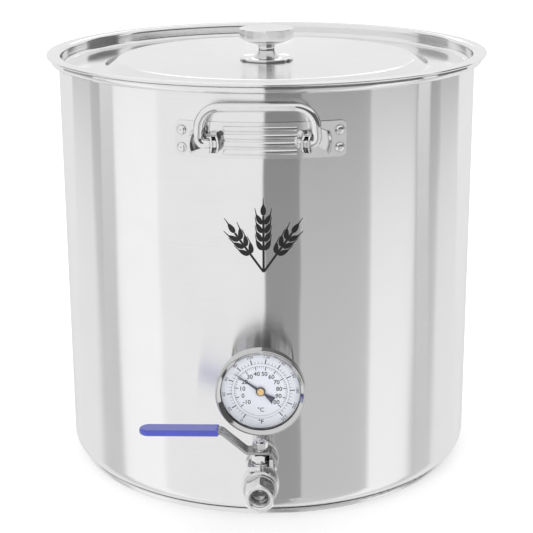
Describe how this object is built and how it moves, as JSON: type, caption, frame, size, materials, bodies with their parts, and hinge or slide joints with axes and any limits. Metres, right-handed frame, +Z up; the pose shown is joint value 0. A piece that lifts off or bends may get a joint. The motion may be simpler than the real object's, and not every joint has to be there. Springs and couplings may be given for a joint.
{
  "type": "brew kettle",
  "caption": "Large stainless brew kettle with a recessed lid and knob, folding bail handles, a round dial thermometer and a lever ball valve low on the wall.",
  "frame": {"origin": "centre of the base's flat underside, on the pot's axis", "axes": "+Z up along the pot's axis; -Y is the front, where the thermometer, the valve and one handle are; +X is to the right as seen from the front"},
  "size_m": [0.476, 0.5604, 0.4739],
  "materials": {
    "polished_steel": "polished stainless steel with faint vertical grain",
    "base_steel": "satin stainless cladding over the heat-spreading disc",
    "knob_steel": "polished turned stainless steel",
    "handle_steel": "polished pressed stainless steel",
    "fastener_steel": "bright machined stainless steel",
    "cast_steel": "investment-cast stainless steel, tumbled",
    "lever_steel": "stamped stainless strap",
    "bezel_steel": "polished rolled stainless ring and case",
    "blue_vinyl": "glossy dipped blue vinyl",
    "silicone": "translucent white silicone",
    "ptfe": "white PTFE",
    "black_rubber": "black rubber",
    "dial_face": "printed white aluminium dial",
    "clear_glass": "flat clear glass",
    "brass": "turned brass",
    "bimetal": "coiled bimetal strip",
    "pointer_paint": "satin black-blue paint"
  },
  "bodies": {
    "kettle": {"back_handle_plate": "handle_steel", "back_handle_rivets": "fastener_steel", "base_disc": "base_steel", "bimetal_coil": "bimetal", "bulkhead_inner_washer": "fastener_steel", "bulkhead_lock_nut": "fastener_steel", "bulkhead_nipple": "cast_steel", "bulkhead_seal": "silicone", "front_handle_plate": "handle_steel", "front_handle_rivets": "fastener_steel", "kettle_shell": "polished_steel", "lens_gasket": "black_rubber", "shaft_bush": "brass", "stem_gland_nut": "fastener_steel", "stem_packing": "ptfe", "thermometer_bezel": "bezel_steel", "thermometer_bushing": "cast_steel", "thermometer_case": "bezel_steel", "thermometer_dial": "dial_face", "thermometer_inner_washer": "fastener_steel", "thermometer_lens": "clear_glass", "thermometer_lock_nut": "fastener_steel", "thermometer_seal": "silicone", "thermometer_stem": "fastener_steel", "valve_body": "cast_steel", "valve_body_seal": "ptfe", "valve_end_cap": "cast_steel", "valve_seat_front": "ptfe", "valve_seat_rear": "ptfe"},
    "lid": {"lid_pan": "polished_steel", "knob_base": "knob_steel", "knob_cap": "knob_steel", "knob_stud": "fastener_steel", "knob_washer": "fastener_steel", "knob_nut": "fastener_steel"},
    "front_handle": {"front_handle_bail": "handle_steel"},
    "back_handle": {"back_handle_bail": "handle_steel"},
    "valve_lever": {"valve_ball": "polished_steel", "valve_stem": "fastener_steel", "lever_arm": "lever_steel", "lever_grip": "blue_vinyl", "lever_washer": "fastener_steel", "lever_nut": "fastener_steel"},
    "pointer": {"pointer_needle": "pointer_paint", "pointer_hub": "brass", "pointer_shaft": "fastener_steel"}
  },
  "joints": [
    {"name": "lid_lift", "type": "slide", "parent": "kettle", "child": "lid", "axis": [0, 0, 1], "range_m": [0, 0.2]},
    {"name": "front_handle_swing", "type": "hinge", "parent": "kettle", "child": "front_handle", "pos_m": [0, -0.231, 0.3938], "axis": [1, 0, 0], "range_deg": [0, 178]},
    {"name": "back_handle_swing", "type": "hinge", "parent": "kettle", "child": "back_handle", "pos_m": [0, 0.231, 0.3938], "axis": [-1, 0, 0], "range_deg": [0, 178]},
    {"name": "lever_turn", "type": "hinge", "parent": "kettle", "child": "valve_lever", "pos_m": [0, -0.287, 0.068], "axis": [0, 0, 1], "range_deg": [0, 90]},
    {"name": "pointer_turn", "type": "hinge", "parent": "kettle", "child": "pointer", "pos_m": [0, -0.265, 0.1556], "axis": [0, 1, 0], "range_deg": [-75.8, 184.2]}
  ]
}
